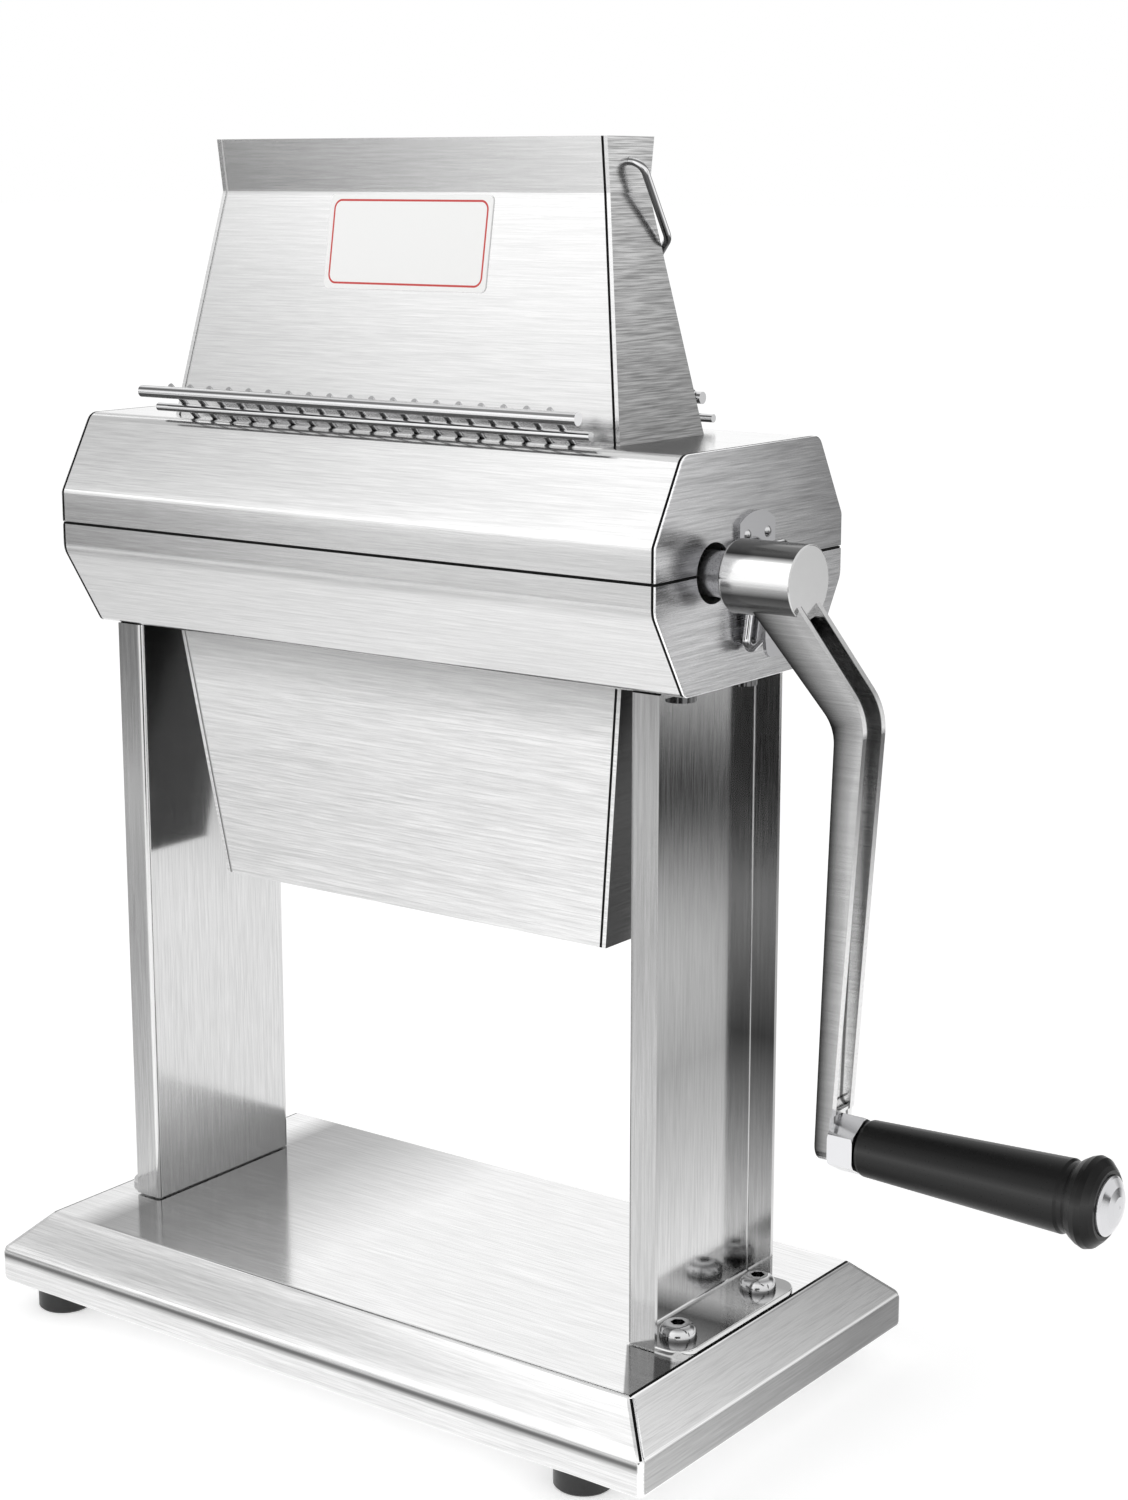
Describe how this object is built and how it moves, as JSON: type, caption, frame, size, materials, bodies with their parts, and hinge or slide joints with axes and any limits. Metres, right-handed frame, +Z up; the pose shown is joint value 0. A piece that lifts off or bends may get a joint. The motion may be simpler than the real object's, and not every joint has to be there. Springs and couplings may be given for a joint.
{
  "type": "hand-cranked meat tenderizer",
  "caption": "Hand-cranked meat tenderizer: a sheet-steel stand and head with a tapered hopper, two toothed rollers, stripper combs, latched cover and a side crank.",
  "frame": {"origin": "centre of the whole machine's footprint, crank included, on the floor under the feet", "axes": "+X along the rollers towards the crank, +Y to the back, +Z up"},
  "size_m": [0.4308, 0.1684, 0.44],
  "materials": {
    "brushed_sheet": "fine brushed grain along X",
    "brushed_end": "fine brushed grain front to back",
    "brushed_leg": "fine brushed grain up and down",
    "brushed_crank": "brushed",
    "polished_steel": "polished",
    "bright_wire": "polished",
    "bright_fastener": "polished",
    "blade_steel": "satin",
    "shaft_steel": "turned",
    "bronze": "turned",
    "block_nylon": "machined",
    "seat_nylon": "moulded",
    "black_rubber": "smooth",
    "black_grip": "semi-gloss",
    "polished_cap": "polished, bare",
    "dark_seam": "thin dark bead",
    "blank_label": "white, blank"
  },
  "bodies": {
    "stand": {"base_tray": "brushed_sheet", "rubber_feet": "black_rubber", "foot_screws": "bright_fastener", "foot_nuts": "bright_fastener", "leg_left": "brushed_leg", "leg_right": "brushed_leg", "foot_plate_left": "polished_steel", "foot_plate_right": "polished_steel", "leg_bolts": "bright_fastener", "leg_nuts": "bright_fastener", "lower_housing": "brushed_sheet", "lower_end_left": "brushed_end", "lower_end_right": "brushed_end", "chute": "brushed_sheet", "locating_strips": "brushed_sheet", "cover_seats": "seat_nylon", "bearing_block_left": "block_nylon", "bearing_block_right": "block_nylon", "block_screws": "bright_fastener", "stand_seams": "dark_seam", "shaft_bushes": "bronze", "latch_base_left": "polished_steel", "latch_base_right": "polished_steel", "latch_pins": "bright_fastener", "latch_rivets": "bright_fastener"},
    "cover": {"upper_housing": "brushed_sheet", "cover_seams": "dark_seam", "upper_end_left": "brushed_end", "upper_end_right": "brushed_end", "hopper": "brushed_sheet", "label_plate": "blank_label", "catch_plate_left": "polished_steel", "catch_plate_right": "polished_steel", "catch_rivets": "bright_fastener"},
    "front_comb": {"front_comb": "bright_wire"},
    "rear_comb": {"rear_comb": "bright_wire"},
    "bail": {"bail_handle": "bright_wire"},
    "crank": {"front_shaft": "shaft_steel", "front_blades": "blade_steel", "front_spacers": "blade_steel", "front_keys": "shaft_steel", "front_circlips": "shaft_steel", "front_gear": "shaft_steel", "crank_hub": "brushed_crank", "hub_grub_screw": "bright_fastener", "crank_arm": "brushed_crank", "grip_spindle": "shaft_steel", "spindle_nut": "bright_fastener"},
    "rear_roller": {"rear_shaft": "shaft_steel", "rear_blades": "blade_steel", "rear_spacers": "blade_steel", "rear_keys": "shaft_steel", "rear_circlips": "shaft_steel", "rear_gear": "shaft_steel"},
    "grip": {"grip_sleeve": "black_grip", "grip_cap": "polished_cap"},
    "right_lever": {"latch_lever_right": "polished_steel"},
    "left_lever": {"latch_lever_left": "polished_steel"},
    "right_loop": {"latch_loop_right": "bright_wire"},
    "left_loop": {"latch_loop_left": "bright_wire"}
  },
  "joints": [
    {"name": "cover_lift", "type": "slide", "parent": "stand", "child": "cover", "axis": [0, 0, 1], "range_m": [0, 0.12]},
    {"name": "front_comb_pull", "type": "slide", "parent": "cover", "child": "front_comb", "axis": [0, -0.7373, 0.6756], "range_m": [0, 0.045]},
    {"name": "rear_comb_pull", "type": "slide", "parent": "cover", "child": "rear_comb", "axis": [0, 0.7373, 0.6756], "range_m": [0, 0.045]},
    {"name": "bail_hinge", "type": "hinge", "parent": "cover", "child": "bail", "pos_m": [-0.06565, -0.0032, 0.432], "axis": [1, 0, 0], "range_deg": [0, 296]},
    {"name": "crank_spin", "type": "hinge", "parent": "stand", "child": "crank", "pos_m": [-0.06565, -0.0212, 0.3029], "axis": [1, 0, 0], "continuous": true},
    {"name": "rear_roller_spin", "type": "hinge", "parent": "stand", "child": "rear_roller", "pos_m": [-0.06565, 0.0212, 0.3029], "axis": [1, 0, 0], "continuous": true},
    {"name": "grip_spin", "type": "hinge", "parent": "crank", "child": "grip", "pos_m": [0.16435, -0.0212, 0.1223], "axis": [1, 0, 0], "continuous": true},
    {"name": "right_lever_hinge", "type": "hinge", "parent": "stand", "child": "right_lever", "pos_m": [0.07155, 0.0023, 0.29], "axis": [0, -1, 0], "range_deg": [0, 140]},
    {"name": "right_loop_hinge", "type": "hinge", "parent": "right_lever", "child": "right_loop", "pos_m": [0.06945, 0.0023, 0.2775], "axis": [0, -1, 0], "range_deg": [-140, 0]},
    {"name": "left_lever_hinge", "type": "hinge", "parent": "stand", "child": "left_lever", "pos_m": [-0.20285, 0.0023, 0.29], "axis": [0, 1, 0], "range_deg": [0, 140]},
    {"name": "left_loop_hinge", "type": "hinge", "parent": "left_lever", "child": "left_loop", "pos_m": [-0.20075, 0.0023, 0.2775], "axis": [0, 1, 0], "range_deg": [-140, 0]}
  ],
  "couplings": [
    {"joint": "rear_roller_spin", "follows": "crank_spin", "ratio": -1},
    {"joint": "right_loop_hinge", "follows": "right_lever_hinge", "ratio": -1},
    {"joint": "left_loop_hinge", "follows": "left_lever_hinge", "ratio": -1}
  ]
}
